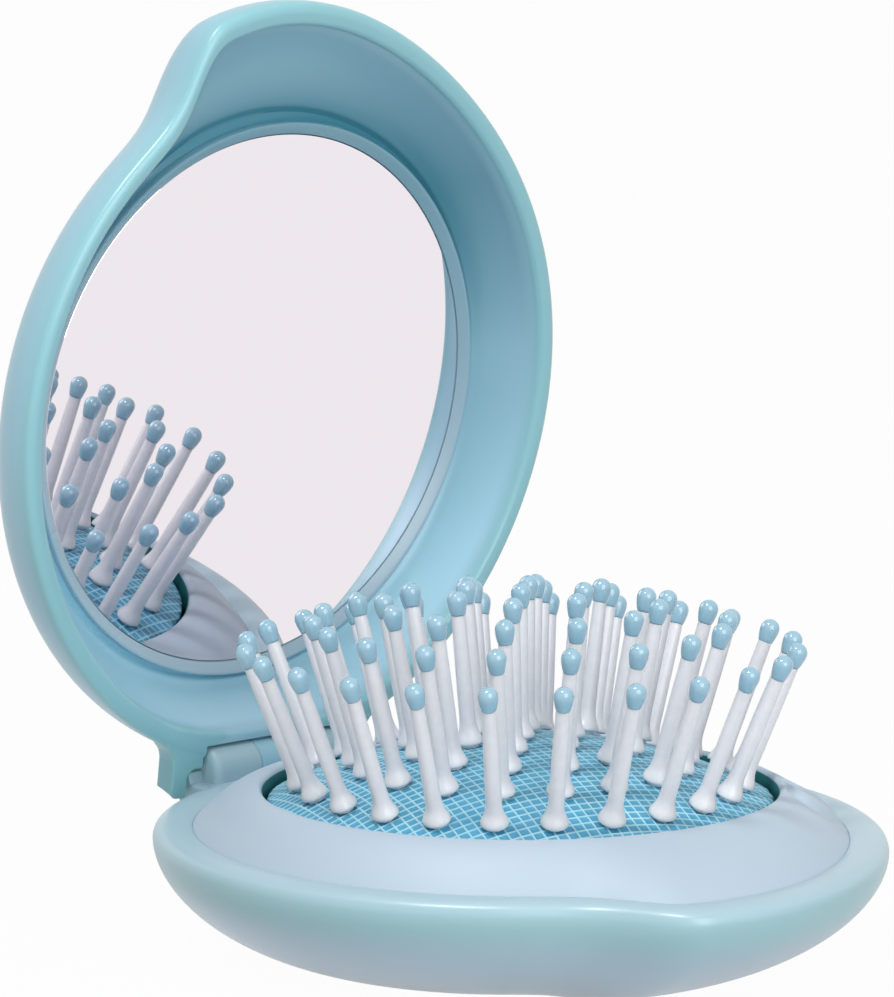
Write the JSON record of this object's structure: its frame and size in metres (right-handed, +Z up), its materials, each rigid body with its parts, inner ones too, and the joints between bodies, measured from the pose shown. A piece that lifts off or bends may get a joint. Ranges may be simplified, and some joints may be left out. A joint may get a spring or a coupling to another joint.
{
  "type": "folding hairbrush with mirror",
  "caption": "Round folding hairbrush with a mirror in its lid, a domed rubber pad of ball-tipped bristles that sinks as the lid shuts, and a pointed finger tip on the outline.",
  "frame": {"origin": "middle of the resting face, under the centre of the round base", "axes": "+Z up, +X from the hinge to the finger tip, +Y along the hinge"},
  "size_m": [0.0958, 0.0767, 0.101],
  "materials": {
    "shell": "glossy pale aqua plastic",
    "frame": "satin pale blue plastic",
    "inner": "plain moulded plastic",
    "bristle": "milky nylon",
    "tip": "glossy sky blue",
    "rubber": "mid blue rubber with a fine raised grid",
    "steel": "ground",
    "mirror": "silvered glass",
    "foam": "adhesive foam"
  },
  "bodies": {
    "base": {"base_shell": "shell", "brush_bezel": "frame", "hinge_pin": "steel", "lever_pin": "steel"},
    "lid": {"lid_shell": "shell", "mirror_glass": "mirror", "mirror_ring": "shell", "mirror_pad": "foam"},
    "pad": {"pad_ring": "inner", "cushion": "rubber"},
    "lifter": {"lift_disc": "inner", "pins_centre": "bristle", "tips_centre": "tip"},
    "mid_ring": {"pins_mid": "bristle", "tips_mid": "tip"},
    "wide_ring": {"pins_wide": "bristle", "tips_wide": "tip"},
    "lever": {"lift_lever": "inner"},
    "edge_1": {"pins_edge_1": "bristle", "tips_edge_1": "tip"},
    "edge_2": {"pins_edge_2": "bristle", "tips_edge_2": "tip"},
    "edge_3": {"pins_edge_3": "bristle", "tips_edge_3": "tip"},
    "edge_4": {"pins_edge_4": "bristle", "tips_edge_4": "tip"},
    "edge_5": {"pins_edge_5": "bristle", "tips_edge_5": "tip"},
    "edge_6": {"pins_edge_6": "bristle", "tips_edge_6": "tip"},
    "edge_7": {"pins_edge_7": "bristle", "tips_edge_7": "tip"},
    "edge_8": {"pins_edge_8": "bristle", "tips_edge_8": "tip"}
  },
  "joints": [
    {"name": "lid_hinge", "type": "hinge", "parent": "base", "child": "lid", "pos_m": [-0.0418, 0, 0.0155], "axis": [0, 1, 0], "range_deg": [0, 82]},
    {"name": "pad_drop", "type": "slide", "parent": "base", "child": "pad", "axis": [0, 0, -1], "range_m": [0, 0.01182], "deforming": ["cushion"]},
    {"name": "disc_drop", "type": "slide", "parent": "base", "child": "lifter", "axis": [0, 0, -1], "range_m": [0, 0.01832]},
    {"name": "mid_ring_drop", "type": "slide", "parent": "base", "child": "mid_ring", "axis": [0, 0, -1], "range_m": [0, 0.01692]},
    {"name": "wide_ring_drop", "type": "slide", "parent": "base", "child": "wide_ring", "axis": [0, 0, -1], "range_m": [0, 0.01562]},
    {"name": "lever_turn", "type": "hinge", "parent": "base", "child": "lever", "pos_m": [-0.0293, 0, 0.0038], "axis": [0, 1, 0], "range_deg": [0, 37.1]},
    {"name": "edge_1_fold", "type": "hinge", "parent": "pad", "child": "edge_1", "pos_m": [0.02492, 0.01112, 0.0172], "axis": [0.4226, -0.9063, 0], "range_deg": [0, 18.1]},
    {"name": "edge_2_fold", "type": "hinge", "parent": "pad", "child": "edge_2", "pos_m": [0.00941, 0.02534, 0.0172], "axis": [0.9397, -0.342, 0], "range_deg": [0, 18.1]},
    {"name": "edge_3_fold", "type": "hinge", "parent": "pad", "child": "edge_3", "pos_m": [-0.01162, 0.02442, 0.0172], "axis": [0.9063, 0.4226, 0], "range_deg": [0, 18.1]},
    {"name": "edge_4_fold", "type": "hinge", "parent": "pad", "child": "edge_4", "pos_m": [-0.02584, 0.00891, 0.0172], "axis": [0.342, 0.9397, 0], "range_deg": [0, 18.1]},
    {"name": "edge_5_fold", "type": "hinge", "parent": "pad", "child": "edge_5", "pos_m": [-0.02492, -0.01212, 0.0172], "axis": [-0.4226, 0.9063, 0], "range_deg": [0, 18.1]},
    {"name": "edge_6_fold", "type": "hinge", "parent": "pad", "child": "edge_6", "pos_m": [-0.00941, -0.02634, 0.0172], "axis": [-0.9397, 0.342, 0], "range_deg": [0, 18.1]},
    {"name": "edge_7_fold", "type": "hinge", "parent": "pad", "child": "edge_7", "pos_m": [0.01162, -0.02542, 0.0172], "axis": [-0.9063, -0.4226, 0], "range_deg": [0, 18.1]},
    {"name": "edge_8_fold", "type": "hinge", "parent": "pad", "child": "edge_8", "pos_m": [0.02584, -0.00991, 0.0172], "axis": [-0.342, -0.9397, 0], "range_deg": [0, 18.1]}
  ],
  "couplings": [
    {"joint": "pad_drop", "follows": "lid_hinge", "m_per_rad": 0.008245},
    {"joint": "disc_drop", "follows": "lid_hinge", "m_per_rad": 0.012787},
    {"joint": "mid_ring_drop", "follows": "lid_hinge", "m_per_rad": 0.011808},
    {"joint": "wide_ring_drop", "follows": "lid_hinge", "m_per_rad": 0.0109},
    {"joint": "lever_turn", "follows": "lid_hinge", "ratio": 0.4511},
    {"joint": "edge_1_fold", "follows": "lid_hinge", "ratio": 0.21951},
    {"joint": "edge_2_fold", "follows": "lid_hinge", "ratio": 0.21951},
    {"joint": "edge_3_fold", "follows": "lid_hinge", "ratio": 0.21951},
    {"joint": "edge_4_fold", "follows": "lid_hinge", "ratio": 0.21951},
    {"joint": "edge_5_fold", "follows": "lid_hinge", "ratio": 0.21951},
    {"joint": "edge_6_fold", "follows": "lid_hinge", "ratio": 0.21951},
    {"joint": "edge_7_fold", "follows": "lid_hinge", "ratio": 0.21951},
    {"joint": "edge_8_fold", "follows": "lid_hinge", "ratio": 0.21951}
  ]
}
